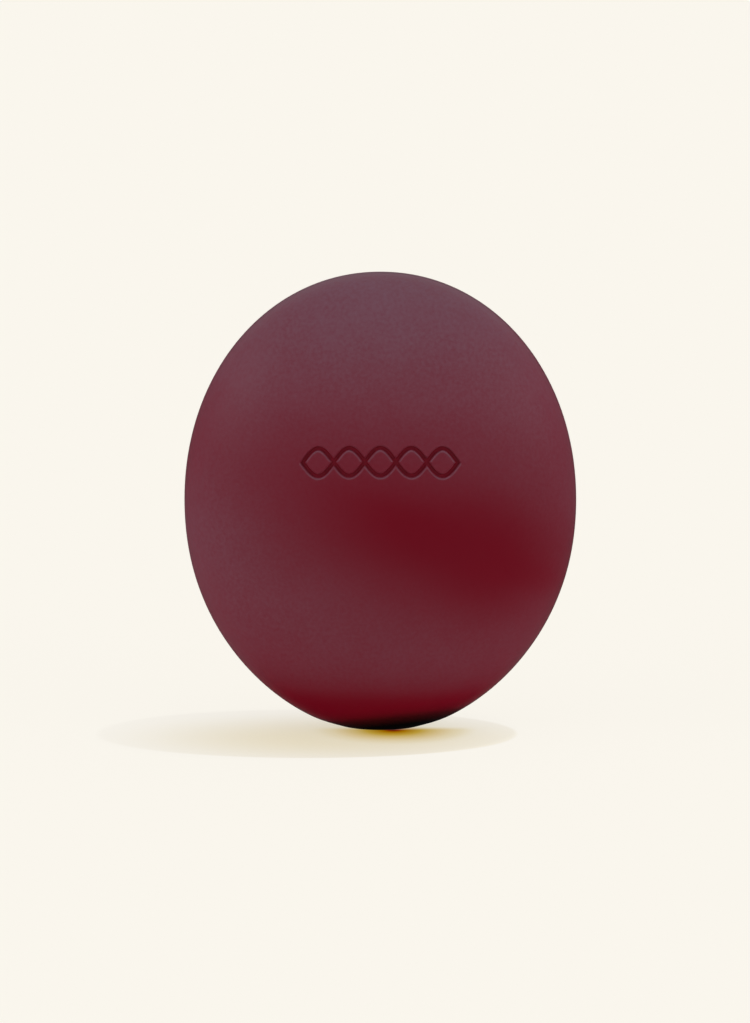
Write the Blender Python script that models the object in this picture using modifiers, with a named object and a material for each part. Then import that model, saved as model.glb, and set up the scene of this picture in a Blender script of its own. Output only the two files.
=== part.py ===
"""Rosin cake: one oval pebble of cast rosin that stands on a small flat at the lower end of its oval.

Units are metres and +Z is up. The origin is the middle of the stand flat. The pebble's long axis is
upright, its broad faces look along -Y, the front, and +Y, the back, and its width lies along X.
"""

import math

import bmesh
import bpy
from mathutils import Matrix

# Driving dimensions of the finished cake
HEIGHT = 0.0500  # from the stand flat to the top of the oval
WIDTH = 0.0421  # across the oval
FRONT_BULGE = 0.0105  # how far the front face stands out from the mould's parting plane
BACK_BULGE = 0.0105  # the same for the back face
STAND_WIDTH = 0.0096  # of the flat ground on the lower end, along X, enough for a 5 degree slope

# Fineness of the faceted solid
SPOKES = 96  # round the oval
RINGS = 22  # from the middle of a face out to the parting plane

MERGE = 1e-6  # closes the turned section on its axis

CAKE_NAME = "rosin_cake"
ROSIN_COLOUR = (0.125, 0.006, 0.018, 1.0)
ROSIN_ROUGHNESS = 0.38


def clear_scene():
    """Removes every object, also the ones that Blender starts with."""
    for found in list(bpy.data.objects):
        bpy.data.objects.remove(found, do_unlink=True)


def new_collection(name):
    """An empty collection in the scene."""
    collection = bpy.data.collections.new(name)
    bpy.context.scene.collection.children.link(collection)
    return collection


def rosin_material():
    """Deep red rosin with the satin skin that it takes from a smooth mould."""
    material = bpy.data.materials.new("rosin")
    material.use_nodes = True
    shader = material.node_tree.nodes["Principled BSDF"]
    shader.inputs["Base Color"].default_value = ROSIN_COLOUR
    shader.inputs["Roughness"].default_value = ROSIN_ROUGHNESS
    shader.inputs["Metallic"].default_value = 0.0
    material.diffuse_color = ROSIN_COLOUR
    return material


def full_half_height():
    """Half the long axis of the whole oval, of which a flat STAND_WIDTH wide leaves HEIGHT."""
    left_below_the_middle = math.sqrt(1 - (STAND_WIDTH / WIDTH) ** 2)
    return HEIGHT / (1 + left_below_the_middle)


def quarter_ellipse(bulge, radius):
    """(across, out) points from the middle of a face out to the parting plane."""
    points = []
    for ring in range(RINGS + 1):
        angle = math.pi / 2 * ring / RINGS
        points.append((radius * math.sin(angle), bulge * math.cos(angle)))
    return points


def pebble_section(radius):
    """(across, along Y) points from the middle of the back face round to the middle of the front."""
    back = [(across, out) for across, out in quarter_ellipse(BACK_BULGE, radius)]
    front = [(across, -out) for across, out in quarter_ellipse(FRONT_BULGE, radius)]
    return back[:-1] + front[::-1]


def turned_pebble(collection):
    """The whole pebble: its section is turned about Y, and narrowed along X to the oval."""
    radius = full_half_height()
    section = pebble_section(radius)
    mesh = bpy.data.meshes.new(CAKE_NAME)
    points = [(across, along, 0.0) for across, along in section]
    edges = [(i, i + 1) for i in range(len(points) - 1)]
    mesh.from_pydata(points, edges, [])
    pebble = bpy.data.objects.new(CAKE_NAME, mesh)
    collection.objects.link(pebble)
    turn = pebble.modifiers.new("turned section", "SCREW")
    turn.axis = "Y"
    turn.angle = 2 * math.pi
    turn.steps = SPOKES
    turn.render_steps = SPOKES
    turn.use_merge_vertices = True
    turn.merge_threshold = MERGE
    turn.use_smooth_shade = True
    pebble.scale.x = WIDTH / (2 * radius)
    pebble.location.z = HEIGHT - radius
    return pebble


def stand_cutter(collection):
    """A block whose top face is the surface that the cake stands on."""
    side = 2 * max(WIDTH, HEIGHT, FRONT_BULGE + BACK_BULGE)
    below = Matrix.Translation((0.0, 0.0, -side / 2)) @ Matrix.Scale(side, 4)
    work = bmesh.new()
    bmesh.ops.create_cube(work, size=1.0, matrix=below)
    mesh = bpy.data.meshes.new("stand_cutter")
    work.to_mesh(mesh)
    work.free()
    cutter = bpy.data.objects.new("stand_cutter", mesh)
    cutter.hide_render = True
    cutter.display_type = "WIRE"
    collection.objects.link(cutter)
    return cutter


def grind_stand_flat(pebble, cutter):
    """Takes off what lies below the cutter's top, which leaves the stand flat, a small oval."""
    grind = pebble.modifiers.new("stand flat", "BOOLEAN")
    grind.operation = "DIFFERENCE"
    grind.solver = "EXACT"
    grind.object = cutter


def main():
    clear_scene()
    pieces = new_collection("rosin_cake_pieces")
    cutters = new_collection("cutters")
    cake = turned_pebble(pieces)
    cake.data.materials.append(rosin_material())
    grind_stand_flat(cake, stand_cutter(cutters))


main()
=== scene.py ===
"""A bare cake of dark red rosin, standing on a pale studio floor.

The cake is one oval pebble. Its front face is pressed with a plain ornament, a twist of two strands,
and its satin skin carries a thin mauve layer, partly dust and partly painted sheen, that is missing in
one soft patch of painted shade. Its red is painted stronger low down, and a painted shade darkens its base.
Metres throughout, +Z up. The front face looks along -Y.
"""

import math

import bpy
import numpy as np
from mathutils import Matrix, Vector


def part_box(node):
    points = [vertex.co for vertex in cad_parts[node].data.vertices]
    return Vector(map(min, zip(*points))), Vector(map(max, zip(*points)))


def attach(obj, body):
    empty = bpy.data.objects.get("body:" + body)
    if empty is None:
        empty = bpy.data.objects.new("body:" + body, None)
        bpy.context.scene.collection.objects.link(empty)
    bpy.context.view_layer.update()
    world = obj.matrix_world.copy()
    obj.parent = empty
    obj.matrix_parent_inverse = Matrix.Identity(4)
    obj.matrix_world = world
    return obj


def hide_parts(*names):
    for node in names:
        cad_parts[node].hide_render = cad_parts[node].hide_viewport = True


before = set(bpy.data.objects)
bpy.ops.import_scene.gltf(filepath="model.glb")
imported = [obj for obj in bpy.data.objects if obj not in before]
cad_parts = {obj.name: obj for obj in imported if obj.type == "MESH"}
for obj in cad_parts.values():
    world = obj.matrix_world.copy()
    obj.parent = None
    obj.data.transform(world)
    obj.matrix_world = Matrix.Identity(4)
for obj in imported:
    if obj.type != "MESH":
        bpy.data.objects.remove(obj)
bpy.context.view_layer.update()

CAKE = "rosin_cake"

# ---------------------------------------------------------------- camera
CAMERA_ELEVATION = 14.0  # degrees above the floor
CAMERA_DISTANCE = 1.2
VIEW_HEIGHT = 0.10992  # what the frame's long side spans at the cake's distance
SENSOR = 36.0  # mm, along the frame's long side
SHIFT_SIDE, SHIFT_UP = -0.0052, -0.0086  # shares of the frame's long side
CLIP_NEAR, CLIP_FAR = 0.01, 20.0

# ---------------------------------------------------------------- outline
FULLNESS = 2.042  # 2 is an ellipsoid, and more has fuller shoulders
SPREAD = 0.0086  # how much wider the top is than the middle, as a share
FOOT_TAPER = 0.078  # how much the lower end draws in, as a share
FOOT_TUCK, TUCK_HEIGHT = 0.10, 0.00055  # a further share close to the floor, and how high it reaches

# ---------------------------------------------------------------- pressed ornament
TWIST_LENGTH = 0.0170
TWIST_HEIGHT = 0.0034  # over both strands, stroke included
TWIST_LOOPS = 5
STROKE = 0.00044  # width of a strand
PRESS_DEPTH = 0.00026
PRESS_WALL = 0.00010  # how far a recess wall leans out over its depth
LIP_OUT, LIP_WIDTH, LIP_RISE = 0.00010, 0.00009, 0.00003  # its place outside the stroke, width and height
LIP_PAINTED_HIGHLIGHT = 0.10  # painted highlight: mauve on the lip, as where its edge catches light from above
TWIST_RISE = 0.0070  # of the ornament's middle above the middle of the pebble
TWIST_BOW = 4.0  # per metre: the row sinks by this times the square of the way from its middle
STRAND_POINTS = 700  # samples along a strand
CLOSEST = 1e-9  # no point counts as nearer to a strand than this

# ---------------------------------------------------------------- mesh fineness
FINE_STEP = 0.00006  # between grid lines in the ornament
COARSE_TURN, COARSE_CLIMB = math.radians(2.5), math.radians(1.8)  # between them elsewhere
EDGE_CLIMB = math.radians(0.3)  # between rings at the edge of the stand flat
GROUND_EDGE = 0.00018  # half the height over which that edge is rounded
EDGE_BAND = 3 * GROUND_EDGE  # how far above and below it the rings stay close
GRADE_SAMPLES = 20001  # along a line on which grid lines are placed

# ---------------------------------------------------------------- rosin, scene linear colours
ROSIN_RED = (0.138, 0.0001, 0.0083)
# Painted light: how strong the red is at shares of the height, made stronger low down and weaker at the top,
# as if light came up through the cake from the floor
REDNESS_PAINTED_BY_HEIGHT = [(0.0, 1.51), (0.056, 1.44), (0.082, 1.34), (0.132, 1.23), (0.23, 1.13), (0.32, 1.09),
                 (0.42, 1.04), (0.60, 1.03), (0.76, 1.02), (0.86, 0.95), (0.95, 0.89), (1.0, 0.84)]
# Painted shade: a dark band where the cake meets the floor; its colour, the lean and start of the heights it
# is measured by, and its strength by height
PAINTED_CONTACT_DARK = (0.004, 0.0001, 0.0003, 1.0)
CONTACT_SHADE_LEAN = (-0.108, 0.242, 0.970)  # heights of the painted shade at the base are measured along this
CONTACT_SHADE_START = -0.0010  # where they start, from the middle of the stand flat
CONTACT_SHADE_BY_HEIGHT = [(0.00079, 1.0), (0.00106, 0.88), (0.00135, 0.76), (0.00158, 0.66), (0.00180, 0.46),
                  (0.00200, 0.26), (0.00227, 0.10), (0.00276, 0.0)]
DUST_AND_SHEEN_MAUVE = (0.243, 0.404, 0.532, 1.0)  # pale mauve, partly a dust layer and partly painted sheen, the reflection of light from above and from the floor
DUST_AND_SHEEN_COVER = 0.132  # at its thickest
# Its strength by height: painted sheen, strongest at the top where the face mirrors light from above, and
# none close to the floor
DUST_AND_SHEEN_BY_HEIGHT = [(0.043, 0.00), (0.085, 0.00), (0.113, 0.27), (0.153, 0.45), (0.213, 0.54), (0.333, 0.59),
                  (0.493, 0.76), (0.653, 0.45), (0.813, 0.72), (0.933, 0.90), (1.00, 0.96)]
SKIN_ROUGHNESS = 0.32
ROUGH_BY_GRAIN, ROUGH_IN_RECESS, ROUGH_AT_FOOT = 0.10, 0.2, 0.4  # how much each changes it
SHEEN_LEVEL = 0.20
SHEEN_TINT = (0.60, 0.94, 1.0, 1.0)
GRAIN_SCALE, GRAIN_DETAIL = 2600.0, 3.0  # fine grain of the cast skin
WAVE_SCALE, WAVE_DETAIL = 110.0, 2.0  # slow waves over it
OCTAVE_SHARE = 0.55  # of each finer layer of either
MOTTLE_BY_GRAIN, MOTTLE_BY_WAVE = 0.8, 0.5  # how much each varies the dust and painted sheen, as shares of it
GRAIN_BUMP, GRAIN_HEIGHT = 0.5, 0.00002

# Painted shade: soft ovals where the dust and painted sheen are taken away, as where the face mirrors a dark
# part of the room, each a place from the pebble's middle, a reach and a tilt
SHEEN_GAP_OVALS = [((0.0047, 0.0, -0.0013), (0.0333, 1.0, 0.0159), math.radians(-15)),
          ((0.0115, 0.0, -0.0041), (0.0108, 1.0, 0.0093), math.radians(-34)),
          ((0.0083, 0.0, -0.0026), (0.0180, 1.0, 0.0034), math.radians(-26))]

# ---------------------------------------------------------------- floor and light
FLOOR_REACH = 4.0  # from its middle to each side
FLOOR_CREAM = (0.956, 0.922, 0.847, 1.0)
FLOOR_SHADED = (0.895, 0.818, 0.622, 1.0)  # painted shade: the yellowish colour of the cake's shadow, as if light had passed through the rosin on its way
# Painted ovals on the floor, each a middle, a reach and a core: the outline of the cake's whole shadow, its
# deeper pool, the painted yellowish shade in it, and the painted dark shade and amber light under the edge
# of the foot
SHADOW_OVAL = (-0.0079, -0.0038, 0.0), (0.0229, 0.0101, 1.0), 0.97
POOL_OVAL = (-0.0060, -0.0080, 0.0), (0.036, 0.018, 1.0), 0.0
SHADE_OVAL = (-0.0040, -0.0060, 0.0), (0.0285, 0.0122, 1.0), 0.10
CONTACT_SHADE_AND_AMBER_OVAL = (0.0014, -0.0023, 0.0), (0.0095, 0.0066, 1.0), 0.7
AMBER_SHADE_FRONT, AMBER_SHADE_BACK = -0.0025, -0.0008  # the painted shade is whole in front of the one, and gone behind the other
# Its painted colours, near black at the contact and amber further out, at shares of the reach from the
# middle
CONTACT_SHADE_AND_AMBER_COLOURS = [(0.00, (0.10, 0.005, 0.0)), (0.06, (0.28, 0.03, 0.0)), (0.155, (0.45, 0.205, 0.0)),
                (0.31, (0.60, 0.39, 0.05)), (0.435, (0.71, 0.53, 0.20)), (0.59, (0.80, 0.65, 0.37)),
                (0.70, (0.845, 0.735, 0.49)), (1.00, FLOOR_SHADED[:3])]
BLACK = (0.0, 0.0, 0.0, 1.0)
EVEN_OUTSIDE = 0.94  # share of the floor's look that is plain colour, outside the shadow
EVEN_LESS_RIM, EVEN_LESS_POOL = 0.09, 0.26  # less of it inside the painted shadow outline, at its rim and more in its middle, so the lamps' real shadow shows there
# Light of the dome and of the backdrop by the upright part of its direction, -1 for down and 1 for up
DOME_BY_HEIGHT = [(-0.84, 0.00), (-0.70, 0.12), (-0.56, 0.22), (-0.42, 0.02), (-0.10, 0.0),
                  (0.10, 0.12), (0.25, 0.60), (0.50, 1.0), (1.0, 1.1)]
DOME_STRENGTH = 0.455
DOME_HEADROOM = 1.2  # levels are kept divided by this, because a ramp ends at 1
BACKDROP_BY_HEIGHT = [(-0.90, 0.0), (-0.62, 1.0), (-0.10, 1.0), (0.15, 0.0)]
BACKDROP_LEVEL = 0.12  # low behind the cake, where its rim mirrors the paper it stands before
BACKDROP_SIDE, BACKDROP_FULL = 0.1, 0.7  # it rises between these parts of the direction along +Y
# Lamps by name, degrees to the right and to the front from overhead, spread in degrees, share of light
LAMPS = [("soft_key", 17.9, -8.0, 40.0, 0.140), ("crisp_key", 17.9, -8.0, 1.0, 0.140),
         ("left_fill", -74.5, 44.0, 50.0, 0.157), ("right_fill", 73.6, 55.0, 50.0, 0.127)]


# ================================================================ shape
def pebble_sizes():
    """Half width, half thickness, half height and middle height of the ellipsoid the cake is cut from."""
    low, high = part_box(CAKE)
    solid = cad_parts[CAKE].data
    points = np.empty(len(solid.vertices) * 3, np.float32)
    solid.vertices.foreach_get("co", points)
    points = points.reshape(-1, 3)
    middle = float(points[points[:, 0].argmax(), 2])
    return (high.x - low.x) / 2, (high.y - low.y) / 2, high.z - middle, middle


def graded_line(start, end, coarse, bands):
    """Values from start to end, coarse apart, and finer inside each band (low, high, step).

    The density of values is 1 / coarse everywhere and 1 / step inside a band. Its running sum is
    cut into equal shares, and each cut is a value.
    """
    at = np.linspace(start, end, GRADE_SAMPLES)
    density = np.full(at.shape, 1.0 / coarse)
    for low, high, step in bands:
        density[(at >= low) & (at <= high)] = 1.0 / step
    running = np.concatenate([[0.0], np.cumsum((density[1:] + density[:-1]) / 2 * np.diff(at))])
    shares = np.linspace(0.0, running[-1], int(math.ceil(running[-1])) + 1)
    return np.interp(shares, running, at)


def strand_distance(across, up):
    """Distance of each point from the twist's centre lines, and how squarely it lies under the nearer one.

    The lines are up = +-amplitude sin(pi loops s / length). Both are sampled finely, and each point
    takes its nearest sample, with 1 for a point straight under it and 0 for one beside or above it.
    """
    amplitude = (TWIST_HEIGHT - STROKE) / 2
    s = np.linspace(0.0, TWIST_LENGTH - STROKE, STRAND_POINTS)
    strand = amplitude * np.sin(math.pi * TWIST_LOOPS * s / (TWIST_LENGTH - STROKE))
    s = s - (TWIST_LENGTH - STROKE) / 2
    nearest = np.full(across.shape, np.inf)
    under = np.zeros(across.shape)
    every = np.arange(len(across))
    for side in (1.0, -1.0):
        drop = side * strand[None, :] - up[:, None]
        apart = np.hypot(across[:, None] - s[None, :], drop)
        pick = apart.argmin(axis=1)
        found = apart[every, pick]
        closer = found < nearest
        under[closer] = (drop[every, pick] / np.maximum(found, CLOSEST))[closer]
        nearest[closer] = found[closer]
    return nearest, np.clip(under, 0.0, 1.0)


def press(distance):
    """1 on the floor of a recess, 0 outside: a smooth step down over the wall, half inside the stroke."""
    inside = np.clip((STROKE / 2 + PRESS_WALL / 2 - distance) / PRESS_WALL, 0.0, 1.0)
    return inside * inside * (3.0 - 2.0 * inside)


def lip(distance, under):
    """1 on the low edge that stands along the underside of a stroke, falling off as a bell curve."""
    return under * np.exp(-((distance - STROKE / 2 - LIP_OUT) / LIP_WIDTH) ** 2)


def pebble_surface():
    """Grid of points on the cake, marks from 0 to 1 for the recess and the lip at each, and the poles.

    A direction (cos(climb) sin(turn), -cos(climb) cos(turn), sin(climb)), for turns once round the
    upright axis and climbs from pole to pole, is brought to a length at which the sum of its parts to the
    power FULLNESS is 1, then stretched by the half sizes a, b, c. Its width grows with height by SPREAD,
    and shrinks by FOOT_TAPER times the cube of how far down it lies, and close to the floor by FOOT_TUCK
    on a bell curve. The widest point is set to a. In the ornament, whose row bends down from its middle
    by TWIST_BOW times the square of the way across, a point sinks along the normal, and on the lip under
    a stroke it rises. Heights under the floor are lifted to it with a rounded edge, which makes the
    stand flat.
    """
    a, b, c, middle = pebble_sizes()
    half_row, half_band = TWIST_LENGTH / 2 + STROKE, TWIST_HEIGHT / 2 + STROKE
    bow_drop = TWIST_BOW * (TWIST_LENGTH / 2) ** 2
    climb_low = math.asin((TWIST_RISE - half_band - bow_drop) / c)
    climb_high = math.asin((TWIST_RISE + half_band) / c)
    side_turn = math.asin(half_row / (a * math.cos(climb_low)))
    edge_low = math.asin(max(-1.0, (-EDGE_BAND - middle) / c))
    edge_high = math.asin((EDGE_BAND - middle) / c)
    turn = graded_line(-math.pi, math.pi, COARSE_TURN, [(-side_turn, side_turn, FINE_STEP / a)])[:-1]
    climb = graded_line(-math.pi / 2, math.pi / 2, COARSE_CLIMB,
                        [(climb_low, climb_high, FINE_STEP / c), (edge_low, edge_high, EDGE_CLIMB)])
    turn, climb = np.meshgrid(turn, climb[1:-1])
    unit = np.stack([np.cos(climb) * np.sin(turn), -np.cos(climb) * np.cos(turn), np.sin(climb)], axis=-1)
    half = np.array([a, b, c])
    full = unit / ((np.abs(unit) ** FULLNESS).sum(axis=-1, keepdims=True) ** (1 / FULLNESS))
    points = full * half
    over_floor = np.maximum(points[..., 2] + middle, 0.0)
    points[..., 0] *= (1 + SPREAD * full[..., 2] - FOOT_TAPER * np.clip(-full[..., 2], 0.0, 1.0) ** 3
                       - FOOT_TUCK * np.exp(-(over_floor / TUCK_HEIGHT) ** 2))
    points[..., 0] *= a / np.abs(points[..., 0]).max()
    normal = unit / half
    normal /= np.linalg.norm(normal, axis=-1, keepdims=True)
    up = points[..., 2] - TWIST_RISE + TWIST_BOW * points[..., 0] ** 2
    near = (np.abs(points[..., 0]) < half_row) & (points[..., 1] < 0) & (np.abs(up) < half_band)
    depth, edge = np.zeros(turn.shape), np.zeros(turn.shape)
    distance, under = strand_distance(points[..., 0][near], up[near])
    depth[near], edge[near] = press(distance), lip(distance, under)
    points = points + normal * (edge * LIP_RISE - depth * PRESS_DEPTH)[..., None]
    points[..., 2] = rounded_floor(points[..., 2] + middle)
    poles = np.array([[0.0, 0.0, 0.0], [0.0, 0.0, middle + c]])
    return points, {"recess": depth, "lip": edge}, poles


def rounded_floor(height):
    """Height, but never under 0: a parabola of half width GROUND_EDGE joins the two."""
    blend = (height + GROUND_EDGE) ** 2 / (4 * GROUND_EDGE)
    return np.where(height > GROUND_EDGE, height, np.where(height < -GROUND_EDGE, 0.0, blend))


def ringed_mesh(name, points, poles):
    """A closed mesh of the rings in points, rows upwards and columns round, with a pole at each end."""
    rows, columns = points.shape[:2]
    index = np.arange(rows * columns).reshape(rows, columns)
    after = np.roll(index, -1, axis=1)
    quads = np.stack([index[:-1], after[:-1], after[1:], index[1:]], axis=-1).reshape(-1, 4)
    low_pole, high_pole = rows * columns, rows * columns + 1
    under = np.stack([after[0], index[0], np.full(columns, low_pole)], axis=-1)
    over = np.stack([index[-1], after[-1], np.full(columns, high_pole)], axis=-1)
    mesh = bpy.data.meshes.new(name)
    every_point = np.concatenate([points.reshape(-1, 3), poles])
    mesh.from_pydata(every_point.tolist(), [], quads.tolist() + under.tolist() + over.tolist())
    mesh.shade_smooth()
    return mesh


def rosin_pebble():
    """The cake as it is seen, with the ornament pressed into its front face. The poles carry no mark."""
    points, marks, poles = pebble_surface()
    mesh = ringed_mesh("cast_pebble", points, poles)
    for name, amount in marks.items():
        mark = mesh.attributes.new(name, "FLOAT", "POINT")
        mark.data.foreach_set("value", np.concatenate([amount.ravel(), [0.0, 0.0]]).astype(np.float32))
    pebble = bpy.data.objects.new("cast_pebble", mesh)
    bpy.context.scene.collection.objects.link(pebble)
    return pebble


# ================================================================ materials
def add_node(tree, kind, settings=None, values=None):
    """A shader node with plain settings and with values on its inputs, by name or number."""
    node = tree.nodes.new(kind)
    for key, value in (settings or {}).items():
        setattr(node, key, value)
    for key, value in (values or {}).items():
        node.inputs[key].default_value = value
    return node


def math_node(tree, operation, *values):
    """A Math node on sockets or numbers."""
    node = add_node(tree, "ShaderNodeMath", {"operation": operation})
    for socket, value in zip(node.inputs, values):
        if isinstance(value, (int, float)):
            socket.default_value = value
        else:
            tree.links.new(value, socket)
    return node.outputs[0]


def mixed_colour(tree, share, first, second):
    """A colour between two, which are sockets or colours, by a share that is a socket."""
    node = add_node(tree, "ShaderNodeMix", {"data_type": "RGBA"})
    tree.links.new(share, node.inputs["Factor"])
    for socket, value in ((node.inputs[6], first), (node.inputs[7], second)):
        if isinstance(value, tuple):
            socket.default_value = value
        else:
            tree.links.new(value, socket)
    return node.outputs[2]


def stepped(tree, value, start, end, low, high):
    """A value taken smoothly from low at start to high at end."""
    node = add_node(tree, "ShaderNodeMapRange", {"interpolation_type": "SMOOTHSTEP"},
                    {"From Min": start, "From Max": end, "To Min": low, "To Max": high})
    tree.links.new(value, node.inputs["Value"])
    return node.outputs["Result"]


def ramp_colour(tree, value, stops, way="B_SPLINE"):
    """A colour or grey level read from value, between (value, colour or level) stops.

    The value is brought to 0 at the first stop and 1 at the last, which is what a ramp spans.
    """
    low, high = stops[0][0], stops[-1][0]
    spread = add_node(tree, "ShaderNodeMapRange", values={"From Min": low, "From Max": high})
    ramp = add_node(tree, "ShaderNodeValToRGB")
    tree.links.new(value, spread.inputs["Value"])
    tree.links.new(spread.outputs["Result"], ramp.inputs["Fac"])
    ramp.color_ramp.interpolation = way
    while len(ramp.color_ramp.elements) < len(stops):
        ramp.color_ramp.elements.new(0.5)  # anywhere, as the next lines place it
    for element, (position, colour) in zip(ramp.color_ramp.elements, stops):
        element.position = (position - low) / (high - low)
        element.color = (*(colour if isinstance(colour, tuple) else (colour,) * 3), 1.0)
    return ramp.outputs["Color"]


def new_group(name, inputs, outputs):
    """An empty shader node group with named sockets, (name, kind) each, and its two end nodes."""
    group = bpy.data.node_groups.new(name, "ShaderNodeTree")
    for way, sockets in (("INPUT", inputs), ("OUTPUT", outputs)):
        for socket_name, kind in sockets:
            group.interface.new_socket(name=socket_name, in_out=way, socket_type="NodeSocket" + kind)
    return group, group.nodes.new("NodeGroupInput"), group.nodes.new("NodeGroupOutput")


def placed_group(tree, group, links=None, values=None):
    """A group in a material, with some inputs linked and some set."""
    node = add_node(tree, "ShaderNodeGroup", {"node_tree": group}, values)
    for key, socket in (links or {}).items():
        tree.links.new(socket, node.inputs[key])
    return node


def soft_oval_group():
    """Mask of a soft oval, 1 in its core and falling smoothly to 0 at its reach, and the way out to there.

    The way from the middle is turned into the oval's own axes and divided by its reach. Its length
    is then 1 at the rim, and the mask rises from there to the core, which is a share of the reach.
    """
    group, start, end = new_group("soft_oval",
                                  [("Vector", "Vector"), ("Middle", "Vector"), ("Turn", "Vector"),
                                   ("Reach", "Vector"), ("Core", "Float")],
                                  [("Mask", "Float"), ("Way", "Float")])
    away = add_node(group, "ShaderNodeVectorMath", {"operation": "SUBTRACT"})
    turned = add_node(group, "ShaderNodeVectorRotate", {"rotation_type": "EULER_XYZ"})
    share = add_node(group, "ShaderNodeVectorMath", {"operation": "DIVIDE"})
    length = add_node(group, "ShaderNodeVectorMath", {"operation": "LENGTH"})
    group.links.new(start.outputs["Vector"], away.inputs[0])
    group.links.new(start.outputs["Middle"], away.inputs[1])
    group.links.new(away.outputs[0], turned.inputs["Vector"])
    group.links.new(start.outputs["Turn"], turned.inputs["Rotation"])
    group.links.new(turned.outputs[0], share.inputs[0])
    group.links.new(start.outputs["Reach"], share.inputs[1])
    group.links.new(share.outputs[0], length.inputs[0])
    mask = stepped(group, length.outputs["Value"], 0.0, 1.0, 1.0, 0.0)
    group.links.new(start.outputs["Core"], mask.node.inputs["From Min"])
    group.links.new(mask, end.inputs["Mask"])
    group.links.new(length.outputs["Value"], end.inputs["Way"])
    return group


def cast_grain_group():
    """Fine grain and slow waves of a cast skin, each a value round 0.5."""
    group, start, end = new_group("cast_grain",
                                  [("Vector", "Vector"), ("Grain Scale", "Float"), ("Wave Scale", "Float")],
                                  [("Grain", "Float"), ("Wave", "Float")])
    for name, detail in (("Grain", GRAIN_DETAIL), ("Wave", WAVE_DETAIL)):
        noise = add_node(group, "ShaderNodeTexNoise", values={"Detail": detail, "Roughness": OCTAVE_SHARE})
        group.links.new(start.outputs["Vector"], noise.inputs["Vector"])
        group.links.new(start.outputs[name + " Scale"], noise.inputs["Scale"])
        group.links.new(noise.outputs["Fac"], end.inputs[name])
    return group


def rosin_material(middle, oval, cast_grain):
    """Deep red cast rosin: satin, with a mauve layer that is partly dust and partly painted sheen, missing
    in a painted-shade patch of the face. The red is painted stronger low down, and a painted shade darkens
    the base.
    """
    material = bpy.data.materials.new("cast_rosin")
    material.use_nodes = True
    tree = material.node_tree
    shader = tree.nodes["Principled BSDF"]
    shader.inputs["Specular IOR Level"].default_value = SHEEN_LEVEL
    shader.inputs["Specular Tint"].default_value = SHEEN_TINT
    place = tree.nodes.new("ShaderNodeTexCoord").outputs["Object"]
    split = tree.nodes.new("ShaderNodeSeparateXYZ")
    tree.links.new(place, split.inputs[0])
    height = split.outputs["Z"]
    recess = add_node(tree, "ShaderNodeAttribute", {"attribute_name": "recess"}).outputs["Fac"]
    grain = placed_group(tree, cast_grain, {"Vector": place},
                         {"Grain Scale": GRAIN_SCALE, "Wave Scale": WAVE_SCALE})
    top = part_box(CAKE)[1].z
    # painted sheen with dust: strongest at the top, set by height
    by_height = ramp_colour(tree, height, [(at * top, level) for at, level in DUST_AND_SHEEN_BY_HEIGHT])
    dust_and_sheen = math_node(tree, "MULTIPLY", by_height, DUST_AND_SHEEN_COVER)
    # painted shade: the dust and painted sheen are taken away inside these ovals
    for (across, along, up), reach, tilt in SHEEN_GAP_OVALS:
        sheen_gap = placed_group(tree, oval, {"Vector": place},
                              {"Middle": (across, along, up + middle), "Turn": (0.0, tilt, 0.0),
                               "Reach": reach})
        dust_and_sheen = math_node(tree, "MULTIPLY", dust_and_sheen, math_node(tree, "SUBTRACT", 1.0, sheen_gap.outputs["Mask"]))
    # painted shade: none of the dust and painted sheen in the recess, where its walls hide the light from
    # above
    dust_and_sheen = math_node(tree, "MULTIPLY", dust_and_sheen, math_node(tree, "SUBTRACT", 1.0, recess))
    # painted highlight: some mauve on the lip under each stroke
    edge = add_node(tree, "ShaderNodeAttribute", {"attribute_name": "lip"}).outputs["Fac"]
    dust_and_sheen = math_node(tree, "ADD", dust_and_sheen, math_node(tree, "MULTIPLY", edge, LIP_PAINTED_HIGHLIGHT))
    still = 1.0 - (MOTTLE_BY_GRAIN + MOTTLE_BY_WAVE) / 2
    mottle = math_node(tree, "MULTIPLY_ADD", grain.outputs["Wave"], MOTTLE_BY_WAVE, still)
    mottle = math_node(tree, "MULTIPLY_ADD", grain.outputs["Grain"], MOTTLE_BY_GRAIN, mottle)
    dust_and_sheen = math_node(tree, "MULTIPLY", dust_and_sheen, mottle)
    # painted light: the red stronger low down and weaker at the top
    reds = [(at * top, tuple(part * level for part in ROSIN_RED)) for at, level in REDNESS_PAINTED_BY_HEIGHT]
    painted_light_red = ramp_colour(tree, height, reds)
    colour = mixed_colour(tree, dust_and_sheen, painted_light_red, DUST_AND_SHEEN_MAUVE)
    # painted shade: a dark band where the cake meets the floor
    leaning = add_node(tree, "ShaderNodeVectorMath", {"operation": "DOT_PRODUCT"}, {1: CONTACT_SHADE_LEAN})
    tree.links.new(place, leaning.inputs[0])
    climbed = math_node(tree, "SUBTRACT", leaning.outputs["Value"], CONTACT_SHADE_START)
    base_shade = ramp_colour(tree, climbed, CONTACT_SHADE_BY_HEIGHT, "LINEAR")
    tree.links.new(mixed_colour(tree, base_shade, colour, PAINTED_CONTACT_DARK), shader.inputs["Base Color"])
    rough = math_node(tree, "MULTIPLY_ADD", grain.outputs["Grain"], ROUGH_BY_GRAIN,
                      SKIN_ROUGHNESS - ROUGH_BY_GRAIN / 2)
    rough = math_node(tree, "ADD", rough, math_node(tree, "MULTIPLY", recess, ROUGH_IN_RECESS))
    rough = math_node(tree, "ADD", rough, math_node(tree, "MULTIPLY", base_shade, ROUGH_AT_FOOT))
    tree.links.new(rough, shader.inputs["Roughness"])
    bump = add_node(tree, "ShaderNodeBump", values={"Strength": GRAIN_BUMP, "Distance": GRAIN_HEIGHT})
    tree.links.new(grain.outputs["Grain"], bump.inputs["Height"])
    tree.links.new(bump.outputs["Normal"], shader.inputs["Normal"])
    return material


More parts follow.
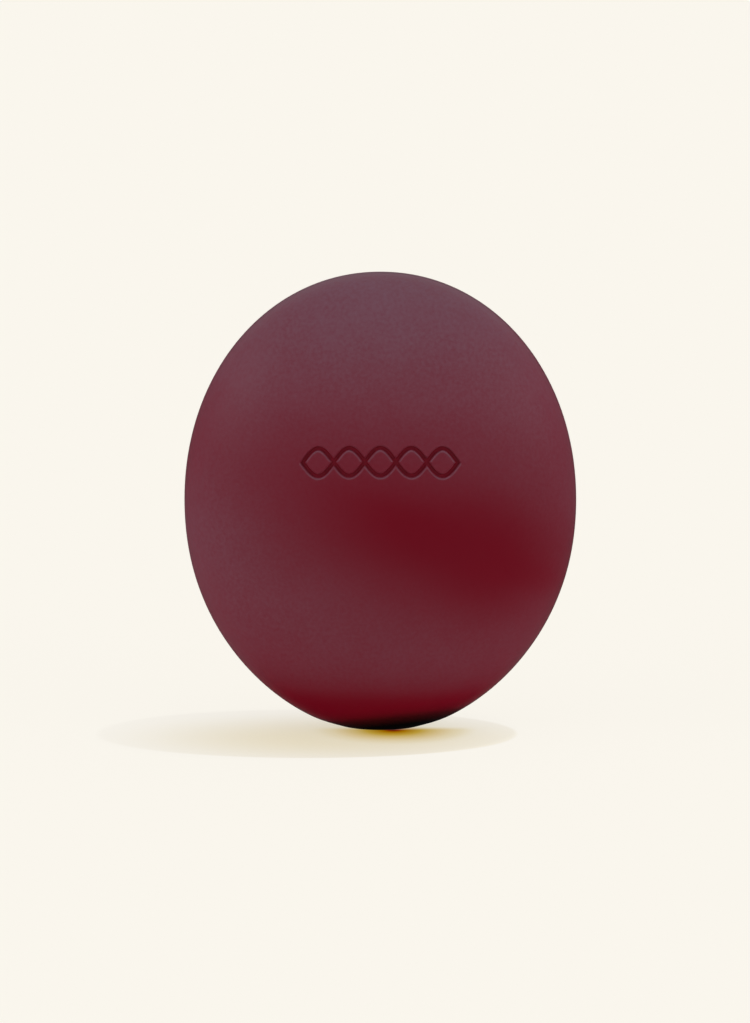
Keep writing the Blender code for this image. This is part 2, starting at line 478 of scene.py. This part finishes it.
def floor_material(oval):
    """Matt cream, with a painted yellowish shade in the cake's shadow, and a painted dark shade and amber
    light under its lower edge, as if light had passed through the rosin.

    The camera sees a share of it as plain colour, most of it outside the shadow and less inside a painted
    shadow outline, so the lamps' real shadow shows there. That share leaves the base colour and comes back
    as emission, for camera rays alone.
    """
    material = bpy.data.materials.new("studio_floor")
    material.use_nodes = True
    tree = material.node_tree
    shader = tree.nodes["Principled BSDF"]
    shader.inputs["Roughness"].default_value = 1.0
    shader.inputs["Specular IOR Level"].default_value = 0.0
    place = tree.nodes.new("ShaderNodeTexCoord").outputs["Object"]
    shadow, pool, shade, contact_shade = (
        placed_group(tree, oval, {"Vector": place}, {"Middle": middle, "Reach": reach, "Core": core}).outputs
        for middle, reach, core in (SHADOW_OVAL, POOL_OVAL, SHADE_OVAL, CONTACT_SHADE_AND_AMBER_OVAL))
    # painted shade: a yellowish colour inside the shadow
    yellow_shade = math_node(tree, "MULTIPLY", shade["Mask"], shadow["Mask"])
    colour = mixed_colour(tree, yellow_shade, FLOOR_CREAM, FLOOR_SHADED)
    split = tree.nodes.new("ShaderNodeSeparateXYZ")
    tree.links.new(place, split.inputs[0])
    # painted contact shade and amber light under the edge of the cake
    in_front = stepped(tree, split.outputs["Y"], AMBER_SHADE_FRONT, AMBER_SHADE_BACK, 1.0, 0.0)
    colour = mixed_colour(tree, math_node(tree, "MULTIPLY", contact_shade["Mask"], in_front), colour,
                          ramp_colour(tree, contact_shade["Way"], CONTACT_SHADE_AND_AMBER_COLOURS, "LINEAR"))
    camera_ray = tree.nodes.new("ShaderNodeLightPath").outputs["Is Camera Ray"]
    # inside the painted shadow outline, less of the plain cream, so the lamps' real shadow shows there
    less = math_node(tree, "MULTIPLY", shadow["Mask"],
                     stepped(tree, pool["Mask"], 0.0, 1.0, EVEN_LESS_RIM, EVEN_LESS_POOL))
    even = math_node(tree, "MULTIPLY", math_node(tree, "SUBTRACT", EVEN_OUTSIDE, less), camera_ray)
    tree.links.new(mixed_colour(tree, even, colour, BLACK), shader.inputs["Base Color"])
    tree.links.new(mixed_colour(tree, even, BLACK, colour), shader.inputs["Emission Color"])
    shader.inputs["Emission Strength"].default_value = 1.0
    return material


# ================================================================ stage
def studio_floor(oval):
    """A plain square floor that fills the camera's view. The cake's gloss doesn't show it."""
    mesh = bpy.data.meshes.new("studio_floor")
    corners = FLOOR_REACH * np.array([(-1, -1, 0), (1, -1, 0), (1, 1, 0), (-1, 1, 0)])
    mesh.from_pydata(corners.tolist(), [], [(0, 1, 2, 3)])
    floor = bpy.data.objects.new("studio_floor", mesh)
    floor.data.materials.append(floor_material(oval))
    floor.visible_glossy = False
    bpy.context.scene.collection.objects.link(floor)


def studio_world():
    """A soft dome that brightens with height, and a low backdrop. The camera sees plain cream instead."""
    world = bpy.data.worlds.new("soft_dome")
    world.use_nodes = True
    tree = world.node_tree
    tree.nodes.clear()
    split = tree.nodes.new("ShaderNodeSeparateXYZ")
    tree.links.new(tree.nodes.new("ShaderNodeTexCoord").outputs["Generated"], split.inputs[0])
    light = add_node(tree, "ShaderNodeBackground", values={"Strength": DOME_STRENGTH * DOME_HEADROOM})
    stops = [(at, level / DOME_HEADROOM) for at, level in DOME_BY_HEIGHT]
    behind = stepped(tree, split.outputs["Y"], BACKDROP_SIDE, BACKDROP_FULL, 0.0, BACKDROP_LEVEL)
    below = ramp_colour(tree, split.outputs["Z"], BACKDROP_BY_HEIGHT, "LINEAR")
    level = math_node(tree, "ADD", ramp_colour(tree, split.outputs["Z"], stops),
                      math_node(tree, "MULTIPLY", behind, below))
    tree.links.new(level, light.inputs["Color"])
    seen = add_node(tree, "ShaderNodeBackground", values={"Color": FLOOR_CREAM})
    mix = tree.nodes.new("ShaderNodeMixShader")
    tree.links.new(tree.nodes.new("ShaderNodeLightPath").outputs["Is Camera Ray"], mix.inputs["Fac"])
    tree.links.new(light.outputs[0], mix.inputs[1])
    tree.links.new(seen.outputs[0], mix.inputs[2])
    tree.links.new(mix.outputs[0], tree.nodes.new("ShaderNodeOutputWorld").inputs["Surface"])
    bpy.context.scene.world = world


def sun(name, right, front, spread, share):
    """A distant lamp as wide as spread, leaning right and to the front from overhead, all in degrees.

    Its share is of the light in which a level floor shows exactly its own colour.
    """
    data = bpy.data.lights.new(name, "SUN")
    data.angle = math.radians(spread)
    toward = Vector((math.tan(math.radians(right)), -math.tan(math.radians(front)), 1.0)).normalized()
    data.energy = share * math.pi / toward.z
    lamp = bpy.data.objects.new(name, data)
    lamp.rotation_mode = "QUATERNION"
    lamp.rotation_quaternion = toward.to_track_quat("Z", "Y")
    lamp.location = toward
    lamp.visible_glossy = False
    bpy.context.scene.collection.objects.link(lamp)


def camera(middle):
    """Looks at the front face from a little above."""
    data = bpy.data.cameras.new("camera")
    data.sensor_width = SENSOR
    data.lens = SENSOR * CAMERA_DISTANCE / VIEW_HEIGHT
    data.shift_x = SHIFT_SIDE
    data.shift_y = SHIFT_UP
    data.clip_start = CLIP_NEAR
    data.clip_end = CLIP_FAR
    eye = bpy.data.objects.new("camera", data)
    rise = math.radians(CAMERA_ELEVATION)
    back = Vector((0.0, -math.cos(rise), math.sin(rise)))
    eye.location = Vector((0.0, 0.0, middle)) + back * CAMERA_DISTANCE
    eye.rotation_mode = "QUATERNION"
    eye.rotation_quaternion = back.to_track_quat("Z", "Y")
    bpy.context.scene.collection.objects.link(eye)
    bpy.context.scene.camera = eye


# ================================================================ assembly
middle_height = pebble_sizes()[3]
soft_oval = soft_oval_group()

pebble = rosin_pebble()
pebble.data.materials.append(rosin_material(middle_height, soft_oval, cast_grain_group()))
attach(pebble, "root")
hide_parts(CAKE)

studio_floor(soft_oval)
studio_world()
for lamp in LAMPS:
    sun(*lamp)
camera(middle_height)
bpy.context.scene.view_settings.view_transform = "Standard"

bpy.context.view_layer.update()
